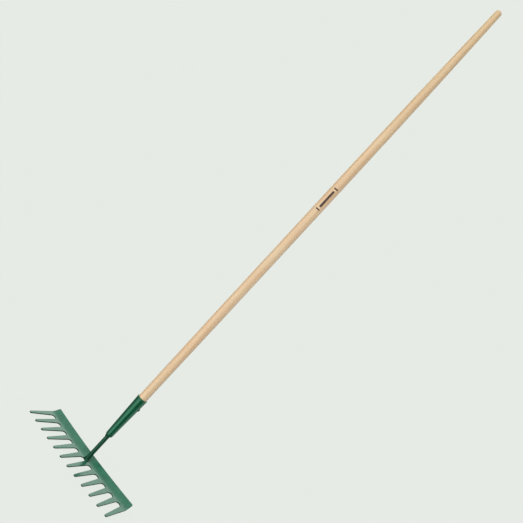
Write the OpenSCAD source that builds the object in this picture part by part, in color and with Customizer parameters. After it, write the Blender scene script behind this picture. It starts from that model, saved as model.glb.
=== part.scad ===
// Twelve-tine garden rake: a pressed steel head on a welded neck, a tapered
// steel socket and a long turned wooden handle.
//
// Frame: the handle's axis is parallel to +Z, the head lies along X with its
// mid-plane at X = 0, and the tines point towards -Y. Z = 0 is the lowest
// corner of the tines, and X = Y = 0 is the middle of the rake's outline.

/* [Head] */
// Number of tines
tines = 12; // [8:2:14]
// Distance between two tines along the strip
tine_pitch = 31.7; // [30:0.1:33]
// Thickness of the pressed sheet
sheet_t = 3; // [2:0.5:4]
// Width of the flat strip, from its back edge to the start of the bend
strip_h = 14.5; // [8:0.5:24]
// Angle of the bend between strip and tines
bend_a = 28; // [20:0.5:40]
// Inner radius of the bend between strip and tines
bend_in_r = 30; // [26:0.5:34]
// Angle by which the tines fall from level
head_tip = 10.8; // [5:0.1:16]
// Radius of the bow of the strip, whose ends sweep back
bow_r = 1490; // [1000:10:2500]
// Length of a tine from the end of the bend to its tip
tine_len = 79; // [60:1:110]
// Width of a tine at its root
tine_root_w = 15.2; // [14:0.2:18]
// Width of a tine at its rounded tip
tine_tip_w = 7.8; // [6:0.2:10]
// Radius of the strip's two back corners
corner_r = 3; // [1:0.5:6]

/* [Neck] */
// Diameter of the round neck rod
neck_d = 12; // [9:0.5:13]
// Distance of the neck and handle axis from the head's mid-plane
neck_offset = 4.5; // [2:0.5:12]
// Distance of that axis ahead of the line where the strip starts to bend
neck_ahead = 10; // [7:0.5:11]
// Height from the line where the strip starts to bend to the socket
neck_len = 86; // [60:1:150]
// Length of the neck's tang inside the socket
tang_len = 22; // [15:1:30]

/* [Socket] */
// Outer diameter of the socket at its rim
socket_rim_d = 31; // [29:0.2:34]
// Outer diameter of the socket at its lower end
socket_end_d = 20.8; // [19.8:0.2:24]
// Length of the socket
socket_len = 134; // [100:1:180]
// Wall thickness of the socket
socket_t = 2.4; // [1.4:0.1:2.6]
// Width of the open seam along the back of the rolled socket
seam_w = 1.2; // [0.6:0.1:2]
// How far the rolled rim stands proud of the socket
rim_proud = 0.7; // [0.4:0.1:1.2]
// Diameter of the fixing nail's domed head
nail_head_d = 10; // [7:0.5:12]
// Diameter of the fixing nail's shank
nail_d = 4; // [3:0.5:5]
// Length of the nail under its head
nail_len = 22; // [15:1:26]
// Direction of the nail, turned from +X towards +Y
nail_turn = 22; // [0:1:60]
// Distance of the nail below the socket's rim
nail_below_rim = 31; // [15:1:50]

/* [Handle] */
// Height of the handle's top above the tine tips
handle_top = 1663; // [1500:1:1800]
// Diameter of the straight grip
grip_d = 28.2; // [27:0.2:30]
// Height where the straight grip starts
grip_low = 640; // [500:10:700]
// Height where the straight grip ends and the taper to the top begins
grip_high = 1030; // [1000:10:1250]
// Diameter of the handle just under its rounded top
handle_end_d = 18.8; // [16:0.2:24]
// Height of the handle's rounded top
top_dome = 8; // [5:0.5:9]

/* [Print] */
// Height of the middle of the printed transfer
print_z = 972; // [900:1:980]
// Length of the printed transfer along the handle
print_len = 80; // [40:1:90]
// Width of the printed transfer, as an angle around the handle
print_angle = 110; // [60:1:150]
// Direction of the transfer's middle, turned from -Y towards +X
print_turn = 28; // [-90:1:90]
// Thickness of the transfer film
print_t = 0.08; // [0.04:0.01:0.09]

/* [Hidden] */
$fn = 96;

head_green = [0.25, 0.50, 0.40];
socket_green = [0.07, 0.33, 0.20];
wood_pale = [0.88, 0.75, 0.58];
print_ink = [0.13, 0.12, 0.11];

over = 1;                                 // how far a cutter runs past what it cuts
bend_r = bend_in_r + sheet_t / 2;         // bend radius of the sheet's middle plane
strip_a = 90 - head_tip - bend_a;         // angle by which the strip leans back
bend_run = bend_r * (cos(strip_a) - sin(head_tip));   // how far the bend reaches forward
bend_drop = bend_r * (cos(head_tip) - sin(strip_a));  // and down
tine_run = tine_len * cos(head_tip);      // how far a tine reaches forward
tine_drop = tine_len * sin(head_tip);     // and down
strip_z = bend_drop + tine_drop + sheet_t / 2 * cos(head_tip); // where strip and bend meet

head_w = tines * tine_pitch - 16;         // length of the head along its strip
head_half_a = head_w / bow_r * 90 / PI;   // half of the head's angle around the bow
tine_step_a = tine_pitch / bow_r * 180 / PI;      // angle from tine to tine
last_tine_a = tine_step_a * (tines - 1) / 2;      // angle of the outermost tines
strip_back = strip_h * sin(strip_a) + sheet_t / 2 * cos(strip_a); // strip's reach to the back
back_a = (head_w - 2 * corner_r) / bow_r * 90 / PI;   // angle where its corners start
head_back = strip_back + (bow_r - strip_back) * (1 - cos(back_a));
tip_front = bend_run + tine_run + sheet_t / 2 * sin(head_tip);  // reach of the tine tips
strip_y = (tip_front - head_back) / 2;    // the line where the strip starts to bend, at X = 0
axis_y = strip_y - neck_ahead;            // the neck and handle axis
root_scale = (bow_r + bend_run) / bow_r;  // growth of the pitch from that line to the tine roots
gap_r = (tine_pitch * root_scale - tine_root_w) / 2;  // radius of the round gap roots
root_past = 0.3;                          // how far past the bend they start

// A tine's flanks run straight from the gap roots and touch its round tip.
tip_r = tine_tip_w / 2;
flank_run = tine_len - tip_r - gap_r;
flank_a = atan(tine_root_w / 2 / flank_run) - asin(tip_r / norm([flank_run, tine_root_w / 2]));
flank_end = tine_root_w / 2 - (tine_len - gap_r) * tan(flank_a);
gap_end = tine_pitch * (bow_r + bend_run + tine_run) / bow_r / 2 - flank_end;
side_root = (head_w - tine_pitch * (tines - 1)) / 2 * root_scale;

// The neck stands on the bend, where the sheet's upper face falls by foot_a
foot_a = asin((bend_r * cos(strip_a) - neck_ahead) / bend_in_r);
foot_z = strip_z + bend_r * sin(strip_a) - bend_in_r * cos(foot_a);
foot_gap = 0.05;                          // play under the rod, whose foot follows the sheet
foot_deep = 6;                            // how far the rod's blank runs below its foot
socket_low = strip_z + neck_len;
socket_rim = socket_low + socket_len;
rim_r = 1.5;                              // radius of the rolled rim
taper_gap = 0.1;                          // play between the handle's taper and the socket
wood_low = socket_low + tang_len + 3;     // lower end of the handle inside the socket
wood_rim_r = socket_rim_d / 2 - socket_t - taper_gap;
wood_low_r = socket_r(wood_low) - socket_t - taper_gap;
nail_z = socket_rim - nail_below_rim;
nail_seat = socket_r(nail_z);             // distance of the nail's head from the axis
nail_dome = 2.4;                          // height of the nail's head
nail_point = 6;                           // length of the nail's point
nail_play = 0.1;                          // play around the nail's shank

// Radius of the socket's outside at height z
function socket_r(z) =
    (socket_end_d + (socket_rim_d - socket_end_d) * (z - socket_low) / socket_len) / 2;

// Radius of the handle: it swells from the socket to the grip and tapers to the top
function swell(s) = wood_rim_r + (grip_d / 2 - wood_rim_r) * s * s * (3 - 2 * s);
function taper(s) = grip_d / 2 - (grip_d - handle_end_d) / 2 * s * s;

// Children are drawn on the neck and handle axis, at height z
module at_axis(z = 0) translate([neck_offset, axis_y, z]) children();

// Children are drawn around the bow's axis, with the head on its -Y side
module at_bow(a = 0) translate([0, strip_y + bow_r, 0]) rotate(a) children();

// Children are drawn at the end of the bend, with +Y along the tine at
// angle a and +Z square to its upper face
module at_tine(a) at_bow(a) translate([0, -bow_r - bend_run, strip_z - bend_drop])
    rotate([head_tip, 0, 0]) rotate(180) children();

// Children are drawn at the strip's back corner on one side (-1 or 1), with
// +X along the strip, +Y up it and +Z out of its upper face
module at_corner(side) at_bow(side * head_half_a)
    translate([0, -bow_r + strip_h * sin(strip_a), strip_z + strip_h * cos(strip_a)])
    rotate([90 - strip_a, 0, 0]) mirror([side < 0 ? 1 : 0, 0, 0]) children();

// ---- head ----

// Everything above a bent sheet whose upper face has the bend radius r, up
// to the given rise over the bend's centre
module above(r, past = 0, rise = 0) {
    intersection() {
        circle(r = r);
        rotate(-bend_a) translate([-strip_h, -r]) square([strip_h + r, r + over]);
    }
    translate([0, -r]) square([tine_len + past, r + rise]);
    rotate(-bend_a) translate([-strip_h - past, -r]) square([strip_h + past, r + rise]);
}

// Section of a bent layer that reaches up and down from the sheet's upper face
module layer(down, up) difference() {
    above(bend_in_r + down);
    above(bend_in_r - up, over, bend_in_r + down + over);
}

// Children are drawn in the plane through the bow's axis, at the centre of the
// bend, with +X along a tine, and swept through half_a to both sides of the
// angle mid_a
module sweep(half_a, mid_a = 0) at_bow(mid_a - 90 - half_a)
    rotate_extrude(angle = 2 * half_a, $fn = 720)
    translate([bow_r + bend_r * cos(strip_a), strip_z + bend_r * sin(strip_a)]) rotate(-head_tip)
    children();

// Cutter for the gap between two tines, with a round root
module gap_cutter(up = sheet_t) translate([0, 0, -sheet_t]) {
    root = gap_r + root_past;
    translate([0, root, 0]) cylinder(r = gap_r, h = sheet_t + up);
    linear_extrude(sheet_t + up)
        polygon([[-gap_r, root], [gap_r, root], [gap_end, tine_len], [gap_end, tine_len + over],
                 [-gap_end, tine_len + over], [-gap_end, tine_len]]);
}

// Cutter for the outer flank of the last tine, on the +X side
module side_cutter() translate([0, 0, -sheet_t]) linear_extrude(2 * sheet_t)
    polygon([[side_root, 0], [flank_end, tine_len], [flank_end, tine_len + over],
             [3 * side_root, tine_len + over], [3 * side_root, 0]]);

// Cutter that rounds a tine's tip
module tip_cutter() {
    tip_start = tine_len - tip_r + tip_r * sin(flank_a);
    translate([0, 0, -sheet_t]) difference() {
        translate([-tine_tip_w, tip_start, 0]) cube([2 * tine_tip_w, tine_len - tip_start + over,
                                                     2 * sheet_t]);
        translate([0, tine_len - tip_r, -over]) cylinder(r = tip_r, h = 2 * (sheet_t + over));
    }
}

// Cutter that rounds a back corner of the strip
module corner_cutter() translate([-corner_r, -corner_r, -sheet_t]) difference() {
    cube([corner_r + over, corner_r + over, 2 * sheet_t]);
    translate([0, 0, -over]) cylinder(r = corner_r, h = 2 * (sheet_t + over));
}

module rake_head() color(head_green) difference() {
    sweep(head_half_a) layer(sheet_t, 0);
    for (i = [1 : tines - 1]) at_tine(i * tine_step_a - tine_step_a / 2 - last_tine_a) gap_cutter();
    for (i = [0 : tines - 1]) at_tine(i * tine_step_a - last_tine_a) tip_cutter();
    at_tine(-last_tine_a) side_cutter();
    at_tine(last_tine_a) mirror([1, 0, 0]) side_cutter();
    at_corner(-1) corner_cutter();
    at_corner(1) corner_cutter();
}

// ---- neck ----

// Part of a bent layer under the neck
module layer_at_neck(down, up)
    sweep(atan(neck_d / bow_r), asin(neck_offset / bow_r)) layer(down, up);

module neck_rod() color(socket_green) difference() {
    at_axis(foot_z - foot_deep) cylinder(d = neck_d, h = socket_low + tang_len - foot_z + foot_deep);
    layer_at_neck(2 * foot_deep, foot_gap);
}

// Weld bead around the rod's foot, square to the sheet
module head_weld() {
    bead = 4;                             // width of the bead around the rod
    bead_h = 5.5;                         // height of the bead
    $fn = 240;
    color(socket_green) difference() {
        intersection() {
            at_axis(foot_z) rotate([foot_a, 0, 0]) translate([0, 0, -bead_h / 2])
                cylinder(r1 = neck_d / 2 + 1.5 * bead, r2 = neck_d / 2 - 0.2 * bead, h = 1.7 * bead_h);
            layer_at_neck(0, 3 * bead_h);
        }
        at_axis(foot_z - foot_deep) cylinder(d = neck_d, h = 4 * foot_deep);
        at_tine(0) gap_cutter(15);
    }
}

// ---- socket ----

module socket_blank() at_axis(socket_low)
    cylinder(d1 = socket_end_d, d2 = socket_rim_d, h = socket_len);

module nail_bore(d) at_axis(nail_z) rotate(nail_turn) rotate([0, 90, 0]) cylinder(d = d, h = 30);

module socket() color(socket_green) difference() {
    union() {
        socket_blank();
        at_axis(socket_rim - rim_r) rotate_extrude()
            translate([socket_rim_d / 2 + rim_proud - rim_r, 0]) circle(r = rim_r, $fn = 32);
    }
    at_axis(socket_low) cylinder(d1 = socket_end_d - 2 * socket_t, d2 = socket_rim_d - 2 * socket_t,
                                 h = socket_len);
    at_axis(socket_low - over) translate([-seam_w / 2, 0, 0])
        cube([seam_w, socket_rim_d, socket_len + 2 * over]);
    nail_bore(nail_d + 2 * nail_play);
}

// Weld that closes the socket's lower end around the neck, with a longer
// run on the -X side
module socket_weld() {
    inside = 8;                           // depth of the weld inside the socket
    collar = 3.5;                         // height of the bead under the socket
    run = 9;                              // length of the longer run on the neck
    color(socket_green) difference() {
        union() {
            at_axis(socket_low) cylinder(r1 = socket_end_d / 2 - socket_t,
                                         r2 = socket_r(socket_low + inside) - socket_t, h = inside);
            at_axis(socket_low - collar) cylinder(r1 = neck_d / 2 + 0.6, r2 = socket_end_d / 2 - 0.4,
                                                  h = collar);
            at_axis(socket_low - run) translate([-1.2, 0, 0])
                cylinder(r1 = neck_d / 2 - 0.4, r2 = neck_d / 2 + 1.6, h = run);
        }
        at_axis(socket_low - 2 * run) cylinder(d = neck_d, h = 4 * run);
    }
}

// Domed nail through the socket's wall into the handle
module socket_nail() {
    dome_r = (nail_head_d ^ 2 / 4 + nail_dome ^ 2) / 2 / nail_dome;
    color(socket_green) difference() {
        at_axis(nail_z) rotate(nail_turn) rotate([0, 90, 0]) intersection() {
            translate([0, 0, nail_seat + nail_dome - dome_r]) sphere(r = dome_r);
            translate([0, 0, nail_seat - 2]) cylinder(d = nail_head_d, h = 2 + nail_dome);
        }
        socket_blank();
    }
    color(socket_green) at_axis(nail_z) rotate(nail_turn) rotate([0, 90, 0]) {
        translate([0, 0, nail_seat - nail_len + nail_point])
            cylinder(d = nail_d, h = nail_len - nail_point + 0.5);
        translate([0, 0, nail_seat - nail_len]) cylinder(d1 = 0.6, d2 = nail_d, h = nail_point);
    }
}

// ---- handle ----

module handle_shaft() {
    steps = 12;                           // straight runs in each curved stretch
    dome_steps = 8;
    taper_top = handle_top - top_dome;
    color(wood_pale) difference() {
        at_axis() rotate_extrude() polygon([
            [0, wood_low], [wood_low_r - 1, wood_low], [wood_low_r, wood_low + 1],
            for (i = [0 : steps]) [swell(i / steps), socket_rim + (grip_low - socket_rim) * i / steps],
            for (i = [0 : steps]) [taper(i / steps), grip_high + (taper_top - grip_high) * i / steps],
            for (i = [1 : dome_steps - 1]) [handle_end_d / 2 * cos(90 * i / dome_steps),
                                            taper_top + top_dome * sin(90 * i / dome_steps)],
            [0, handle_top]]);
        at_axis(nail_z) rotate(nail_turn) rotate([0, 90, 0])
            translate([0, 0, nail_seat - nail_len - 1]) cylinder(d = nail_d + 2 * nail_play, h = 30);
    }
}

// Thin printed film on the handle
module handle_print() color(print_ink) at_axis(print_z - print_len / 2)
    rotate(print_turn - 90 - print_angle / 2) rotate_extrude(angle = print_angle)
    translate([grip_d / 2, 0]) square([print_t, print_len]);

rake_head();
neck_rod();
head_weld();
socket();
socket_weld();
socket_nail();
handle_shaft();
handle_print();
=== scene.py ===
import math

import bmesh
import bpy
from mathutils import Matrix, Vector, noise


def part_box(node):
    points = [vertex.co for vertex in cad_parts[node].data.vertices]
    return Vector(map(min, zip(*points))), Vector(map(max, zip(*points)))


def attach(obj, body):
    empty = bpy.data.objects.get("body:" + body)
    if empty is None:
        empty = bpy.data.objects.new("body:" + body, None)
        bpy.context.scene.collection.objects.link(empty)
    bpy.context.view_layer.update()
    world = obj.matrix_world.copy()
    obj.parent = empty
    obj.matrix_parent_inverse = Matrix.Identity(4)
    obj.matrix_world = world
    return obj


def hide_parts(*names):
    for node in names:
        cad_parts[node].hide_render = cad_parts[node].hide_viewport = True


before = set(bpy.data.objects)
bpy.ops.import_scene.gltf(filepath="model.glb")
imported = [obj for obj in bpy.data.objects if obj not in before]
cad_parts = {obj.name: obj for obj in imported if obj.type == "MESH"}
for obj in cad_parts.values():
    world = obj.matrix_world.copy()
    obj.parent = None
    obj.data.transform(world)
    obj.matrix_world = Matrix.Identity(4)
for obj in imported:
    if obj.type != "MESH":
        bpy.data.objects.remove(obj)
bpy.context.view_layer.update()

MM = 0.001

# ---- sizes, in millimetres, as in the CAD source ----

TINES = 12
PITCH = 31.7
SHEET_T = 3.0
STRIP_H = 14.5
BEND_R = 31.5                             # the sheet's middle plane
TIP = math.radians(10.8)                  # how far the tines fall from level
BEND = math.radians(28)                   # bend between strip and tines
BOW_R = 1490.0
TINE_LEN = 79.0
TINE_ROOT_W = 15.2
TINE_TIP_W = 7.8
CORNER_R = 3.0
HEAD_TRIM = 16.0                          # what the head lacks of its tines' full pitches
EDGE_R = 0.55                             # rounding of the head's cut edges
NECK_R = 6.0
SOCKET_RIM_R = 15.5
SOCKET_END_R = 10.4
SOCKET_LEN = 134.0
SOCKET_T = 2.4
SEAM_W = 1.2
RIM_R = 1.5
RIM_PROUD = 0.7
NAIL_R = 5.0
NAIL_DOME = 2.4
NAIL_TURN = math.radians(22)
NAIL_BELOW_RIM = 31.0
GRIP_R = 14.1
PRINT_TURN = math.radians(28)

rod_low, rod_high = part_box("neck_rod")
wood_low, wood_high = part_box("handle_shaft")
socket_low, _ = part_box("socket")
print_low, print_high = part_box("handle_print")

AXIS_X = (rod_low.x + rod_high.x) / 2 / MM
AXIS_Y = (rod_low.y + rod_high.y) / 2 / MM
SOCKET_Z = socket_low.z / MM
RIM_Z = SOCKET_Z + SOCKET_LEN
NAIL_Z = RIM_Z - NAIL_BELOW_RIM


# ---- mesh helpers ----

def wobble(x, y, z, size, seed=0.0):
    """Smooth noise from -1 to 1 with features of the given size, in millimetres."""
    return noise.noise(Vector((x / size + seed, y / size - seed, z / size + 2 * seed)))


def make(name, verts, faces, node_names, smooth_angle=40.0):
    """A mesh piece from millimetres, riding on the part's one body."""
    mesh = bpy.data.meshes.new(name)
    mesh.from_pydata([(x * MM, y * MM, z * MM) for x, y, z in verts], [], faces)
    mesh.validate()
    mesh.update()
    piece = bpy.data.objects.new(name, mesh)
    bpy.context.scene.collection.objects.link(piece)
    for p in mesh.polygons:
        p.use_smooth = True
    mesh.set_sharp_from_angle(angle=math.radians(smooth_angle))
    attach(piece, "root")
    if node_names:
        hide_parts(*node_names)
    return piece


def apply_modifiers(piece):
    """Replaces the piece's mesh by the result of its modifiers."""
    graph = bpy.context.evaluated_depsgraph_get()
    result = bpy.data.meshes.new_from_object(piece.evaluated_get(graph))
    old = piece.data
    piece.modifiers.clear()
    piece.data = result
    result.name = piece.name
    bpy.data.meshes.remove(old)


def ring_faces(rows, count, closed):
    """Quads between consecutive rows of count points each."""
    faces = []
    last = count if closed else count - 1
    for r in range(rows - 1):
        for c in range(last):
            d = (c + 1) % count
            faces.append((r * count + c, r * count + d, (r + 1) * count + d, (r + 1) * count + c))
    return faces


def lathe(profile, segments, centre, uneven):
    """Verts and faces of a turned solid about a vertical axis. The profile's first and last
    points lie on the axis. uneven(angle, r, z) gives the radius with its unevenness."""
    verts, (cx, cy) = [], centre
    for r, z in profile[1:-1]:
        for k in range(segments):
            a = 2 * math.pi * k / segments
            q = uneven(a, r, z)
            verts.append((cx + q * math.cos(a), cy + q * math.sin(a), z))
    rings = len(profile) - 2
    faces = ring_faces(rings, segments, True)
    first, last = len(verts), len(verts) + 1
    verts += [(cx, cy, profile[0][1]), (cx, cy, profile[-1][1])]
    for k in range(segments):
        d = (k + 1) % segments
        faces.append((first, d, k))
        faces.append((last, (rings - 1) * segments + k, (rings - 1) * segments + d))
    return verts, faces


def arc(cx, cy, r, start, end, steps):
    """Points on a circle from angle start to end, in degrees."""
    return [(cx + r * math.cos(math.radians(start + (end - start) * i / steps)),
             cy + r * math.sin(math.radians(start + (end - start) * i / steps)))
            for i in range(steps + 1)]


def smoothstep(s):
    s = min(1.0, max(0.0, s))
    return s * s * (3 - 2 * s)


# ---- head: the sheet's middle plane as a grid, then thickness and rounded edges ----

STRIP_A = math.pi / 2 - TIP - BEND        # how far the strip leans back
BEND_RUN = BEND_R * (math.cos(STRIP_A) - math.sin(TIP))
BEND_DROP = BEND_R * (math.cos(TIP) - math.sin(STRIP_A))
STRIP_Z = BEND_DROP + TINE_LEN * math.sin(TIP) + SHEET_T / 2 * math.cos(TIP)
HEAD_W = TINES * PITCH - HEAD_TRIM
TIP_FRONT = BEND_RUN + TINE_LEN * math.cos(TIP) + SHEET_T / 2 * math.sin(TIP)
STRIP_BACK = STRIP_H * math.sin(STRIP_A) + SHEET_T / 2 * math.cos(STRIP_A)
BACK_A = (HEAD_W / 2 - CORNER_R) / BOW_R
HEAD_BACK = STRIP_BACK + (BOW_R - STRIP_BACK) * (1 - math.cos(BACK_A))
BOW_Y = (TIP_FRONT - HEAD_BACK) / 2 + BOW_R
ROOT_RHO = BOW_R + BEND_RUN
ROOT_SCALE = ROOT_RHO / BOW_R
GAP_R = (PITCH * ROOT_SCALE - TINE_ROOT_W) / 2
TIP_R = TINE_TIP_W / 2
FLANK_RUN = TINE_LEN - TIP_R - GAP_R
FLANK_A = (math.atan(TINE_ROOT_W / 2 / FLANK_RUN)
           - math.asin(TIP_R / math.hypot(FLANK_RUN, TINE_ROOT_W / 2)))
SIDE_ROOT = (HEAD_W - PITCH * (TINES - 1)) / 2 * ROOT_SCALE


def head_point(phi, along, up):
    """A point of the swept sheet at angle phi around the bow, with its place in the section
    measured from the bend's centre along a tine and square to it."""
    rho = BOW_R + BEND_R * math.cos(STRIP_A) + along * math.cos(TIP) + up * math.sin(TIP)
    z = STRIP_Z + BEND_R * math.sin(STRIP_A) - along * math.sin(TIP) + up * math.cos(TIP)
    return (rho * math.sin(phi), BOW_Y - rho * math.cos(phi), z)


def flank(w):
    """Half width of a tine at w from its root, below the round gap roots."""
    return TINE_ROOT_W / 2 - (w - GAP_R) * math.tan(FLANK_A)


def half_tine(angle, side, outer):
    """Grid rows of half a tine and its share of the strip, from the middle to the edge."""
    if outer:
        columns = [0, 1.6, 3.2, 4.7, SIDE_ROOT - 3, SIDE_ROOT - 2.2, SIDE_ROOT - 1.4,
                   SIDE_ROOT - 0.7, SIDE_ROOT]
    else:
        columns = [PITCH * ROOT_SCALE / 2 * c / 8 for c in range(9)]
    share = [c / columns[-1] for c in columns]
    rows = []
    for up in [STRIP_H - q for q in (0, 0.7, 1.4, 2.2, 3, 5, 8, 11, STRIP_H)]:
        row = []
        for x in columns:
            px, py = x, up
            if outer:                     # round back corner
                p = (x - columns[-1]) / CORNER_R + 1
                q = (up - STRIP_H) / CORNER_R + 1
                if p > 0 and q > 0:
                    px = columns[-1] + CORNER_R * (p * math.sqrt(1 - q * q / 2) - 1)
                    py = STRIP_H + CORNER_R * (q * math.sqrt(1 - p * p / 2) - 1)
            row.append((px, -BEND_R * math.sin(BEND) - py * math.cos(BEND),
                        -BEND_R * math.cos(BEND) + py * math.sin(BEND)))
        rows.append(row)
    bends = 9
    for i in range(1, bends + 1):         # bend
        a = BEND * (1 - i / bends)
        rows.append([(x, -BEND_R * math.sin(a), -BEND_R * math.cos(a)) for x in columns])
    steps = 8
    for k in range(1, steps + 1):         # between the gap roots
        middle = GAP_R * k / steps
        t = math.radians(90 * k / steps)
        if outer:
            edge_x = SIDE_ROOT - (SIDE_ROOT - flank(TINE_LEN)) * middle / TINE_LEN
            edge_w = middle
        else:
            edge_x = PITCH * ROOT_SCALE / 2 - GAP_R * math.sin(t)
            edge_w = GAP_R * (1 - math.cos(t))
        rows.append([(edge_x * s, middle * (1 - s * s) + edge_w * s * s, -BEND_R) for s in share])
    tip_start = TINE_LEN - TIP_R + TIP_R * math.sin(FLANK_A)
    runs = 16
    for k in range(1, runs + 1):          # flanks
        w = GAP_R + (tip_start - GAP_R) * k / runs
        if outer:
            edge_x = SIDE_ROOT - (SIDE_ROOT - flank(TINE_LEN)) * w / TINE_LEN
        else:
            edge_x = flank(w)
        rows.append([(edge_x * s, w, -BEND_R) for s in share])
    edge_x = rows[-1][-1][0]
    caps = 5
    for k in range(1, caps + 1):          # round tip
        f = k / caps
        row = []
        for s in share:
            a = (math.pi / 2 - FLANK_A) * s
            x = edge_x * s * (1 - f) + TIP_R * math.sin(a) * f
            w = tip_start * (1 - f) + (TINE_LEN - TIP_R + TIP_R * math.cos(a)) * f
            row.append((x, w, -BEND_R))
        rows.append(row)
    placed = []
    for row in rows:
        out = []
        for x, along, up in row:
            rho = ROOT_RHO + max(0.0, along) * math.cos(TIP)
            out.append(head_point(angle + side * math.atan2(x, rho), along, up))
        placed.append(out)
    return placed


def build_head():
    verts, faces = [], []
    for j in range(TINES):
        angle = (j - (TINES - 1) / 2) * PITCH / BOW_R
        for side in (-1, 1):
            outer = (j == 0 and side < 0) or (j == TINES - 1 and side > 0)
            rows = half_tine(angle, side, outer)
            start, count = len(verts), len(rows[0])
            for row in rows:
                verts += row
            for f in ring_faces(len(rows), count, False):
                q = tuple(start + i for i in f)
                faces.append(q if side > 0 else q[::-1])
    piece = make("head", verts, faces, ["rake_head"])
    merge(piece, 0.02)                    # halves of tines, and the ends of the tips' rows
    solid = piece.modifiers.new("thickness", "SOLIDIFY")
    solid.thickness = SHEET_T * MM
    solid.offset = 0
    solid.use_even_offset = True
    round_edges = piece.modifiers.new("edges", "BEVEL")
    round_edges.width = EDGE_R * MM
    round_edges.segments = 3
    round_edges.limit_method = "ANGLE"
    round_edges.angle_limit = math.radians(50)
    apply_modifiers(piece)
    return piece


def merge(piece, distance):
    """Joins vertices that lie within distance, in millimetres, and drops empty faces."""
    b = bmesh.new()
    b.from_mesh(piece.data)
    bmesh.ops.remove_doubles(b, verts=b.verts, dist=distance * MM)
    bmesh.ops.dissolve_degenerate(b, edges=b.edges, dist=0.001 * MM)
    bmesh.ops.recalc_face_normals(b, faces=b.faces)
    b.to_mesh(piece.data)
    b.free()


# ---- neck, socket and nail ----

def sheet_top(x, y):
    """Height of the bend's upper face, or of the tines beyond it, over the point x, y."""
    upper_r = BEND_R - SHEET_T / 2
    ahead = math.hypot(x, BOW_Y - y) - BOW_R - BEND_R * math.cos(STRIP_A)
    if ahead > -upper_r * math.sin(TIP):
        return (STRIP_Z + BEND_R * math.sin(STRIP_A) - upper_r * math.cos(TIP)
                - (ahead + upper_r * math.sin(TIP)) * math.tan(TIP))
    return STRIP_Z + BEND_R * math.sin(STRIP_A) - math.sqrt(upper_r ** 2 - ahead ** 2)


def build_rod():
    """The neck's round bar, a little uneven as forged, with a foot that follows the sheet."""
    low = rod_low.z / MM
    high = rod_high.z / MM
    count = 60
    slope_h = 16.5                        # height over which the foot's slope fades out
    profile = [(0, low), (NECK_R - 0.5, low), (NECK_R, low + 0.5)]
    profile += [(NECK_R, low + 0.5 + (high - low - 1.3) * i / count) for i in range(1, count + 1)]
    profile += [(NECK_R - 0.8, high), (0, high)]

    def uneven(a, r, z):
        return r + 0.10 * wobble(9 * math.cos(a), 9 * math.sin(a), z, 14, 3) * r / NECK_R

    verts, faces = lathe(profile, 40, (AXIS_X, AXIS_Y), uneven)
    placed = []
    for x, y, z in verts:
        lift = max(0.0, sheet_top(x, y) - low) * max(0.0, 1 - (z - low) / slope_h)
        placed.append((x, y, z + lift))
    return make("neck", placed, faces, ["neck_rod"], 60)


def socket_r(z):
    """Radius of the socket's outside at height z."""
    return SOCKET_END_R + (SOCKET_RIM_R - SOCKET_END_R) * (z - SOCKET_Z) / SOCKET_LEN


def build_socket():
    """The rolled ferrule: a section swept round from one side of the rear seam to the other."""
    ring = RIM_Z - RIM_R
    ring_r = SOCKET_RIM_R + RIM_PROUD - RIM_R
    steps = 26
    inner_low = socket_r(SOCKET_Z) - SOCKET_T
    section = [(inner_low + 0.4, SOCKET_Z), (inner_low, SOCKET_Z + 0.5)]
    for i in range(1, steps):
        z = SOCKET_Z + 0.5 + (SOCKET_LEN - 1.2) * i / steps
        section.append((socket_r(z) - SOCKET_T, z))
    section += arc(ring_r - 0.55, RIM_Z - 0.7, 0.7, 175, 100, 4)
    section += arc(ring_r, ring, RIM_R, 84, -62, 12)
    section += arc(SOCKET_RIM_R + 0.56, ring - 2.2, 0.75, 138, 182, 4)
    for i in range(1, steps):
        z = ring - 2.6 - (SOCKET_LEN - 5.0) * i / steps
        section.append((socket_r(z), z))
    section += [(socket_r(SOCKET_Z), SOCKET_Z + 0.5), (SOCKET_END_R - 0.4, SOCKET_Z)]
    count, turns = len(section), 96
    verts, faces = [], []
    for k in range(turns + 1):
        for r, z in section:
            opening = math.asin(SEAM_W / 2 / r)
            f = k / turns
            a = math.pi / 2 + opening + (2 * math.pi - 2 * opening) * f
            dent = 0.06 * wobble(r * math.cos(a), r * math.sin(a), z, 16, 7)
            # the rolled sheet flattens slightly towards its two free edges
            flat = 0.25 * math.exp(-((min(f, 1 - f) * turns) / 3) ** 2)
            q = r + dent + flat
            verts.append((AXIS_X + q * math.cos(a), AXIS_Y + q * math.sin(a), z))
    for k in range(turns):
        for i in range(count):
            n = (i + 1) % count
            faces.append((k * count + i, k * count + n, (k + 1) * count + n, (k + 1) * count + i))
    faces.append(tuple(range(count))[::-1])
    faces.append(tuple(turns * count + i for i in range(count)))
    piece = make("ferrule", verts, faces, ["socket"], 50)
    merge(piece, 0.001)
    piece.data.set_sharp_from_angle(angle=math.radians(50))
    return piece


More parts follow.
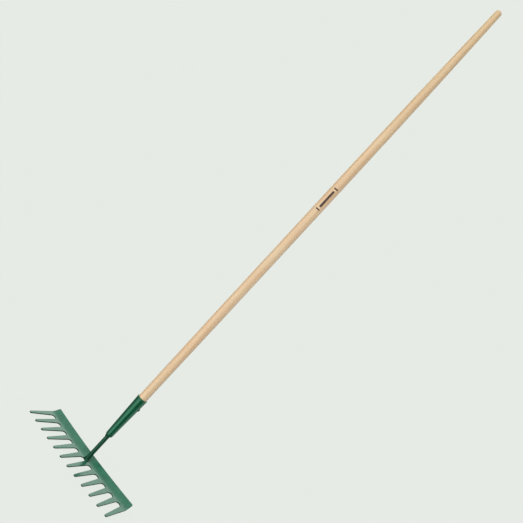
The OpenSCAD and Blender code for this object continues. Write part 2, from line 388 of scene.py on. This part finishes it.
def build_nail():
    """The nail's domed head, square-cut under its edge, with the start of its shank."""
    seat = socket_r(NAIL_Z)
    profile = [(0, -6.0), (1.9, -6.0), (1.9, -1.2), (NAIL_R - 0.9, -1.0), (NAIL_R - 0.15, -0.5),
               (NAIL_R, 0.1), (NAIL_R - 0.05, 0.55)]
    dome_r = (NAIL_R ** 2 + NAIL_DOME ** 2) / 2 / NAIL_DOME
    for i in range(1, 9):
        r = (NAIL_R - 0.25) * (1 - i / 9)
        profile.append((r, NAIL_DOME - dome_r + math.sqrt(dome_r ** 2 - r * r)))
    profile.append((0, NAIL_DOME))

    def hammered(a, r, z):
        return r * (1 + 0.025 * math.sin(3 * a + 0.6) + 0.015 * math.sin(5 * a))

    verts, faces = lathe(profile, 32, (0, 0), hammered)
    turn = Matrix.Rotation(NAIL_TURN, 3, "Z") @ Matrix.Rotation(math.pi / 2, 3, "Y")
    placed = []
    for x, y, z in verts:
        z += 0.15 * wobble(x, y, z, 3, 11) if z > 0.3 else 0
        p = turn @ Vector((x, y, z + seat))
        placed.append((p.x + AXIS_X, p.y + AXIS_Y, p.z + NAIL_Z))
    return make("nail_head", placed, faces, ["socket_nail"], 50)


def build_weld(name, node, waves, fullness):
    """A weld bead from its CAD solid: rounded off, with the ripples of a welding run."""
    piece = bpy.data.objects.new(name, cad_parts[node].data.copy())
    bpy.context.scene.collection.objects.link(piece)
    merge(piece, 0.002)
    piece.data.materials.clear()
    remesh = piece.modifiers.new("skin", "REMESH")
    remesh.mode = "VOXEL"
    remesh.voxel_size = 0.45 * MM
    relax = piece.modifiers.new("relax", "SMOOTH")
    relax.factor = 0.5
    relax.iterations = 5
    apply_modifiers(piece)
    mesh = piece.data
    normals = [v.normal.copy() for v in mesh.vertices]
    for v, n in zip(mesh.vertices, normals):
        x, y, z = (c / MM for c in v.co)
        a = math.atan2(y - AXIS_Y, x - AXIS_X)
        ripple = 0.16 * math.sin(waves * a + 1.1 * z + 0.8 * wobble(x, y, z, 6, 2))
        lump = 0.30 * wobble(x, y, z, 5, 5) + 0.12 * wobble(x, y, z, 1.8, 9)
        v.co += n * (fullness + ripple + lump) * MM
    for p in mesh.polygons:
        p.use_smooth = True
    mesh.update()
    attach(piece, "root")
    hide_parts(node)
    return piece


# ---- handle and print ----

HANDLE_LOW = wood_low.z / MM
HANDLE_TOP = wood_high.z / MM
GRIP_LOW = 640.0
GRIP_HIGH = 1030.0
END_R = 9.4
DOME = 8.0
WOOD_RIM_R = SOCKET_RIM_R - SOCKET_T - 0.1


def handle_r(z):
    """Radius of the turned handle at height z, above the socket's rim."""
    if z < GRIP_LOW:
        s = (z - RIM_Z) / (GRIP_LOW - RIM_Z)
        return WOOD_RIM_R + (GRIP_R - WOOD_RIM_R) * smoothstep(s)
    s = max(0.0, (z - GRIP_HIGH) / (HANDLE_TOP - DOME - GRIP_HIGH))
    return GRIP_R - (GRIP_R - END_R) * s * s


def turned(a, r, z):
    """The handle's radius with the slight unevenness of turning and sanding."""
    if z < RIM_Z:
        return r
    grow = smoothstep((z - RIM_Z) / 60)
    x, y = 14 * math.cos(a), 14 * math.sin(a)
    return r + grow * (0.07 * wobble(x, y, z, 45, 1) + 0.03 * wobble(x, y, z / 8, 5, 4))


def build_handle():
    low_r = socket_r(HANDLE_LOW) - SOCKET_T - 0.1
    profile = [(0, HANDLE_LOW), (low_r - 1, HANDLE_LOW), (low_r, HANDLE_LOW + 1)]
    profile += [(low_r + (WOOD_RIM_R - low_r) * i / 6,
                 HANDLE_LOW + 1 + (RIM_Z - HANDLE_LOW - 1) * i / 6) for i in range(1, 6)]
    straight = HANDLE_TOP - DOME
    rings = 150
    profile += [(handle_r(RIM_Z + (straight - RIM_Z) * i / rings),
                 RIM_Z + (straight - RIM_Z) * i / rings) for i in range(rings + 1)]
    for i in range(1, 12):
        t = math.radians(90 * i / 12)
        profile.append((END_R * math.cos(t), straight + DOME * math.sin(t)))
    profile.append((0, HANDLE_TOP))
    verts, faces = lathe(profile, 96, (AXIS_X, AXIS_Y), turned)
    return make("handle", verts, faces, ["handle_shaft"], 50)


PRINT_MIDDLE = (print_low.z + print_high.z) / 2 / MM
INK_T = 0.05


def ink_patch(verts, faces, z0, z1, s0, s1, corner):
    """A slab of ink on the handle between heights z0 and z1 and between s0 and s1, which are
    lengths around the handle from the print's middle. Its corners have the given radius."""
    start = len(verts)
    nz = max(2, int((z1 - z0) / 1.2))
    ns = max(2, int((s1 - s0) / 0.7))
    for layer in (INK_T, -INK_T):
        for i in range(nz + 1):
            for j in range(ns + 1):
                z = z0 + (z1 - z0) * i / nz
                s = s0 + (s1 - s0) * j / ns
                dz = max(z0 + corner - z, z - z1 + corner, 0) / corner
                ds = max(s0 + corner - s, s - s1 + corner, 0) / corner
                if dz > 0 and ds > 0:
                    kz = dz * math.sqrt(1 - ds * ds / 2)
                    ks = ds * math.sqrt(1 - dz * dz / 2)
                    z += (kz - dz) * corner * (1 if z > (z0 + z1) / 2 else -1)
                    s += (ks - ds) * corner * (1 if s > (s0 + s1) / 2 else -1)
                a = PRINT_TURN - math.pi / 2 + s / GRIP_R
                r = turned(a, handle_r(z), z) + layer
                verts.append((AXIS_X + r * math.cos(a), AXIS_Y + r * math.sin(a), z))
    per = (nz + 1) * (ns + 1)
    for i in range(nz):
        for j in range(ns):
            q = (start + i * (ns + 1) + j, start + i * (ns + 1) + j + 1,
                 start + (i + 1) * (ns + 1) + j + 1, start + (i + 1) * (ns + 1) + j)
            faces.append(q)
            faces.append(tuple(v + per for v in q[::-1]))
    rim = ([(0, j) for j in range(ns)] + [(i, ns) for i in range(nz)]
           + [(nz, j) for j in range(ns, 0, -1)] + [(i, 0) for i in range(nz, 0, -1)])
    for (i0, j0), (i1, j1) in zip(rim, rim[1:] + rim[:1]):
        a, b = start + i0 * (ns + 1) + j0, start + i1 * (ns + 1) + j1
        faces.append((b, a, a + per, b + per))


def build_print():
    """A plain transfer, the same from both ends: a long bar between two short cross bars."""
    bar_half_len, bar_half_w = 28, 3.2
    cross_at, cross_half_h, cross_half_w = 36, 2, 6.5
    verts, faces = [], []
    ink_patch(verts, faces, PRINT_MIDDLE - bar_half_len, PRINT_MIDDLE + bar_half_len,
              -bar_half_w, bar_half_w, 1.6)
    for end in (-cross_at, cross_at):
        ink_patch(verts, faces, PRINT_MIDDLE + end - cross_half_h,
                  PRINT_MIDDLE + end + cross_half_h, -cross_half_w, cross_half_w, 0.8)
    return make("print_bars", verts, faces, ["handle_print"], 30)


# ---- materials ----

class Nodes:
    """Adds nodes to a node tree and joins them."""

    def __init__(self, tree):
        self.tree = tree
        tree.nodes.clear()

    def add(self, kind, inputs=None, **settings):
        n = self.tree.nodes.new(kind)
        for key, value in settings.items():
            setattr(n, key, value)
        for key, value in (inputs or {}).items():
            if isinstance(value, bpy.types.NodeSocket):
                self.tree.links.new(value, n.inputs[key])
            else:
                n.inputs[key].default_value = value
        return n

    def place(self, scale):
        """Object coordinates, in metres, times scale."""
        coordinates = self.add("ShaderNodeTexCoord").outputs["Object"]
        return self.add("ShaderNodeMapping", {"Vector": coordinates, "Scale": scale}).outputs[0]

    def noise(self, scale, detail, roughness, shift):
        """Noise from 0 to 1 over object coordinates scaled by the given factors."""
        place = self.place(scale if isinstance(scale, tuple) else (scale, scale, scale))
        return self.add("ShaderNodeTexNoise", {"Vector": place, "Scale": 1.0, "Detail": detail,
                                               "Roughness": roughness, "W": shift},
                        noise_dimensions="4D").outputs["Fac"]

    def ramp(self, value, low, high, to_low=0.0, to_high=1.0):
        return self.add("ShaderNodeMapRange", {"Value": value, "From Min": low, "From Max": high,
                                               "To Min": to_low, "To Max": to_high}).outputs[0]

    def mix(self, factor, a, b):
        n = self.add("ShaderNodeMix", data_type="RGBA")
        for socket, value in zip((n.inputs[0], n.inputs[6], n.inputs[7]), (factor, a, b)):
            if isinstance(value, bpy.types.NodeSocket):
                self.tree.links.new(value, socket)
            else:
                socket.default_value = value
        return n.outputs[2]

    def bump(self, height, distance, strength, normal=None):
        inputs = {"Height": height, "Distance": distance, "Strength": strength}
        if normal is not None:
            inputs["Normal"] = normal
        return self.add("ShaderNodeBump", inputs).outputs[0]

    def math(self, operation, a, b=0.0):
        return self.add("ShaderNodeMath", {0: a, 1: b}, operation=operation).outputs[0]


def rgb(r, g, b):
    return (r, g, b, 1.0)


def material(name):
    m = bpy.data.materials.new(name)
    m.use_nodes = True
    return m, Nodes(m.node_tree)


def finish_material(n, **inputs):
    names = {key.replace("_", " "): value for key, value in inputs.items()}
    shader = n.add("ShaderNodeBsdfPrincipled", names)
    n.add("ShaderNodeOutputMaterial", {"Surface": shader.outputs[0]})


def enamel(name, deep, light, edge_shade, roughness, gloss, tint, shift):
    """Glossy sprayed enamel: uneven depth of colour, orange peel and dull specks of dust."""
    m, n = material(name)
    dust = rgb(0.25, 0.33, 0.28)
    clouds = n.ramp(n.noise(38.0, 3, 0.55, shift), 0.32, 0.68)
    color = n.mix(clouds, deep, light)
    runs = n.ramp(n.noise((160.0, 160.0, 28.0), 2, 0.5, shift + 3), 0.45, 0.75, 0.0, 0.35)
    color = n.mix(runs, color, rgb(*(0.75 * c for c in deep[:3])))
    specks = n.ramp(n.noise(1500.0, 2, 0.6, shift + 7), 0.68, 0.76)
    color = n.mix(n.math("MULTIPLY", specks, 0.25), color, dust)
    dull = n.ramp(n.noise(90.0, 4, 0.6, shift + 5), 0.3, 0.7, roughness - 0.05, roughness + 0.08)
    dull = n.math("ADD", dull, n.math("MULTIPLY", specks, 0.2))
    peel = n.bump(n.noise(900.0, 2, 0.5, shift + 1), 0.00005, 0.6)
    waves = n.bump(n.noise(150.0, 2, 0.5, shift + 2), 0.00025, 0.5, peel)
    # Painted shade: faces that turn sideways, such as the sheet's cut edges, are darkened towards
    # 0.3 times the deep colour by the given amount, and their specular shine is taken away too.
    facing = n.add("ShaderNodeSeparateXYZ", {
        0: n.add("ShaderNodeNewGeometry").outputs["Normal"]}).outputs[2]
    painted_edge_shade = n.ramp(n.math("ABSOLUTE", facing), 0.35, 0.70, edge_shade, 0.0)
    color = n.mix(painted_edge_shade, color, rgb(*(0.30 * c for c in deep[:3])))
    level = n.math("MULTIPLY", n.math("SUBTRACT", 1.0, painted_edge_shade), gloss)
    finish_material(n, Base_Color=color, Roughness=dull, Normal=waves, IOR=1.5,
                    Specular_IOR_Level=level, Specular_Tint=tint)
    return m


def wood(name):
    """Pale, straight-grained wood under satin varnish, tanner towards the handle's top."""
    m, n = material(name)
    pale, warm, tan = rgb(0.64, 0.465, 0.290), rgb(0.64, 0.415, 0.245), rgb(0.56, 0.385, 0.200)
    band, line = rgb(0.56, 0.36, 0.20), rgb(0.52, 0.33, 0.17)
    shine, pore = rgb(0.93, 0.74, 0.50), rgb(0.33, 0.19, 0.09)
    coordinates = n.add("ShaderNodeTexCoord").outputs["Object"]
    height = n.add("ShaderNodeSeparateXYZ", {0: coordinates}).outputs[2]
    patches = n.ramp(n.noise((14.0, 14.0, 7.0), 3, 0.6, 2.0), 0.38, 0.62)
    color = n.mix(patches, pale, warm)
    upper = n.ramp(height, 0.9, 1.5, 0.0, 0.85)
    color = n.mix(upper, color, tan)
    bands = n.noise((190.0, 190.0, 2.2), 3, 0.55, 4.0)
    color = n.mix(n.ramp(bands, 0.40, 0.68, 0.0, 0.42), color, band)
    fine = n.noise((800.0, 800.0, 6.0), 2, 0.5, 6.0)
    color = n.mix(n.ramp(fine, 0.52, 0.76, 0.0, 0.35), color, line)
    light = n.noise((520.0, 520.0, 6.0), 2, 0.5, 9.0)
    color = n.mix(n.ramp(light, 0.55, 0.75, 0.0, 0.45), color, shine)
    pores = n.ramp(n.noise((2600.0, 2600.0, 70.0), 2, 0.5, 12.0), 0.64, 0.72)
    color = n.mix(n.math("MULTIPLY", pores, 0.25), color, pore)
    dull = n.ramp(bands, 0.3, 0.7, 0.34, 0.46)
    grain = n.bump(fine, 0.00012, 0.5)
    grain = n.bump(pores, 0.00006, -0.5, grain)
    finish_material(n, Base_Color=color, Roughness=dull, Normal=grain, IOR=1.45, Coat_Weight=0.25,
                    Coat_Roughness=0.3)
    return m


def ink(name, deep, worn, shift):
    """Printed ink, thin where the wood's grain shows through."""
    m, n = material(name)
    bare_wood = rgb(0.5, 0.36, 0.22)
    grain = n.noise((900.0, 900.0, 14.0), 3, 0.6, shift)
    color = n.mix(n.ramp(grain, 0.5, 0.75, 0.0, 0.7), deep, worn)
    flecks = n.ramp(n.noise(1400.0, 2, 0.5, shift + 1), 0.66, 0.72)
    color = n.mix(n.math("MULTIPLY", flecks, 0.5), color, bare_wood)
    dull = n.ramp(grain, 0.3, 0.7, 0.38, 0.5)
    finish_material(n, Base_Color=color, Roughness=dull, Normal=n.bump(grain, 0.00005, 0.5),
                    IOR=1.45)
    return m


def paint(piece, m):
    piece.data.materials.clear()
    piece.data.materials.append(m)


# ---- scene ----

BACKGROUND = rgb(0.791, 0.831, 0.783)
FLOOR_LIGHT = 0.95                        # light that falls on the open floor


def direction(azimuth, elevation):
    """A unit vector: azimuth turns from -Y towards +X, elevation rises from the floor."""
    a, e = math.radians(azimuth), math.radians(elevation)
    return (math.sin(a) * math.cos(e), -math.cos(a) * math.cos(e), math.sin(e))


def build_world():
    """A pale studio: a soft tent of light with bright and dark areas. The camera sees it plain."""
    world = bpy.data.worlds.new("studio")
    bpy.context.scene.world = world
    world.use_nodes = True
    n = Nodes(world.node_tree)
    ray = n.add("ShaderNodeTexCoord").outputs["Generated"]

    def area(azimuth, elevation, inner, outer, strength):
        facing = n.add("ShaderNodeVectorMath", {0: ray, 1: direction(azimuth, elevation)},
                       operation="DOT_PRODUCT").outputs["Value"]
        return n.add("ShaderNodeMapRange", {
            "Value": facing, "From Min": math.cos(math.radians(outer)),
            "From Max": math.cos(math.radians(inner)), "To Max": strength},
            interpolation_type="SMOOTHSTEP").outputs[0]

    light = n.math("ADD", area(8, 12, 5, 72, 2.2), 0.24)
    light = n.math("ADD", light, area(125, 5, 12, 45, 1.2))
    light = n.math("ADD", light, area(210, 18, 10, 48, 1.3))
    light = n.math("ADD", light, area(240, 60, 10, 40, 0.7))
    gap = n.math("SUBTRACT", 1.0, area(45, -14, 12, 30, 0.95))
    light = n.math("MULTIPLY", light, gap)
    tent = n.add("ShaderNodeBackground", {"Color": rgb(0.97, 1.0, 0.99), "Strength": light})
    plain = n.add("ShaderNodeBackground", {"Color": BACKGROUND, "Strength": 1.0})
    seen = n.add("ShaderNodeLightPath").outputs["Is Camera Ray"]
    both = n.add("ShaderNodeMixShader", {0: seen, 1: tent.outputs[0], 2: plain.outputs[0]})
    n.add("ShaderNodeOutputWorld", {"Surface": both.outputs[0]})


def build_floor():
    """A pale round floor with a soft contact shadow. Only the camera sees it: the part is lit
    from below too, as on a light table."""
    radius, sides, drop = 4000.0, 72, 0.2
    points = [(0, 0)] + arc(0, 0, radius, 0, 360, sides)[:-1]
    faces = [(0, k + 1, (k + 1) % sides + 1) for k in range(sides)]
    mesh = bpy.data.meshes.new("floor")
    mesh.from_pydata([(x * MM, y * MM, -drop * MM) for x, y in points], [], faces)
    floor = bpy.data.objects.new("floor", mesh)
    bpy.context.scene.collection.objects.link(floor)
    m, n = material("floor")
    place = n.add("ShaderNodeTexCoord").outputs["Object"]
    reach = n.add("ShaderNodeVectorMath", {0: place}, operation="LENGTH").outputs["Value"]
    near = n.add("ShaderNodeMapRange", {"Value": reach, "From Min": 0.15, "From Max": 0.9,
                                        "To Min": 0.05, "To Max": 0.0},
                 interpolation_type="SMOOTHSTEP").outputs[0]
    grey = n.mix(near, rgb(0, 0, 0), BACKGROUND)
    glow = n.add("ShaderNodeEmission", {"Color": BACKGROUND, "Strength": n.math(
        "SUBTRACT", 1.0, n.math("MULTIPLY", near, FLOOR_LIGHT))})
    soft = n.add("ShaderNodeBsdfDiffuse", {"Color": grey})
    surface = n.add("ShaderNodeAddShader", {0: glow.outputs[0], 1: soft.outputs[0]})
    clear = n.add("ShaderNodeBsdfTransparent")
    seen = n.add("ShaderNodeLightPath").outputs["Is Camera Ray"]
    both = n.add("ShaderNodeMixShader", {0: seen, 1: clear.outputs[0], 2: surface.outputs[0]})
    n.add("ShaderNodeOutputMaterial", {"Surface": both.outputs[0]})
    paint(floor, m)


def build_camera():
    """The camera stands level with the handle's middle and is rolled, so that the handle runs
    from the lower left to the upper right."""
    azimuth, elevation, roll = 26.93, -0.05, math.radians(42.74)
    place = (0.8456, -1.6649, 0.7290)     # metres
    back = Vector(direction(azimuth, elevation))
    level = Vector((math.cos(math.radians(azimuth)), math.sin(math.radians(azimuth)), 0))
    above = back.cross(level)
    right = level * math.cos(roll) + above * math.sin(roll)
    up = back.cross(right)
    data = bpy.data.cameras.new("camera")
    data.lens = 48.18
    data.sensor_width = 36
    data.clip_end = 100
    camera = bpy.data.objects.new("camera", data)
    bpy.context.scene.collection.objects.link(camera)
    turn = Matrix((right, up, back)).transposed().to_4x4()
    camera.matrix_world = Matrix.Translation(place) @ turn
    bpy.context.scene.camera = camera


build_camera()
build_world()
build_floor()
bpy.context.scene.view_settings.view_transform = "Standard"

# One green enamel in lit and shaded copies. The head's lighter copy is painted light, and the
# darker copies on the neck, welds, socket and nail are painted shade. Only the head's copy also
# paints shade on its cut edges.
head_paint = enamel("head_paint", rgb(0.016, 0.115, 0.064), rgb(0.028, 0.160, 0.092), 1.0, 0.22,
                    0.80, rgb(0.85, 1.0, 0.92), 1.0)
neck_paint = enamel("neck_paint", rgb(0.002, 0.032, 0.016), rgb(0.004, 0.045, 0.022), 0.0, 0.24,
                    0.45, rgb(0.45, 1.0, 0.70), 11.0)
socket_paint = enamel("socket_paint", rgb(0.002, 0.052, 0.022), rgb(0.003, 0.068, 0.030), 0.0,
                      0.16, 0.85, rgb(0.40, 1.0, 0.68), 21.0)
nail_paint = enamel("nail_paint", rgb(0.002, 0.040, 0.018), rgb(0.003, 0.055, 0.025), 0.0, 0.28,
                    0.30, rgb(0.45, 1.0, 0.70), 31.0)

paint(build_head(), head_paint)
paint(build_rod(), neck_paint)
paint(build_weld("foot_weld", "head_weld", 9, 0.30), neck_paint)
paint(build_weld("collar_weld", "socket_weld", 11, 0.12), neck_paint)
paint(build_socket(), socket_paint)
paint(build_nail(), nail_paint)
paint(build_handle(), wood("handle_wood"))
paint(build_print(), ink("print_ink", rgb(0.035, 0.016, 0.008), rgb(0.16, 0.09, 0.05), 3.0))
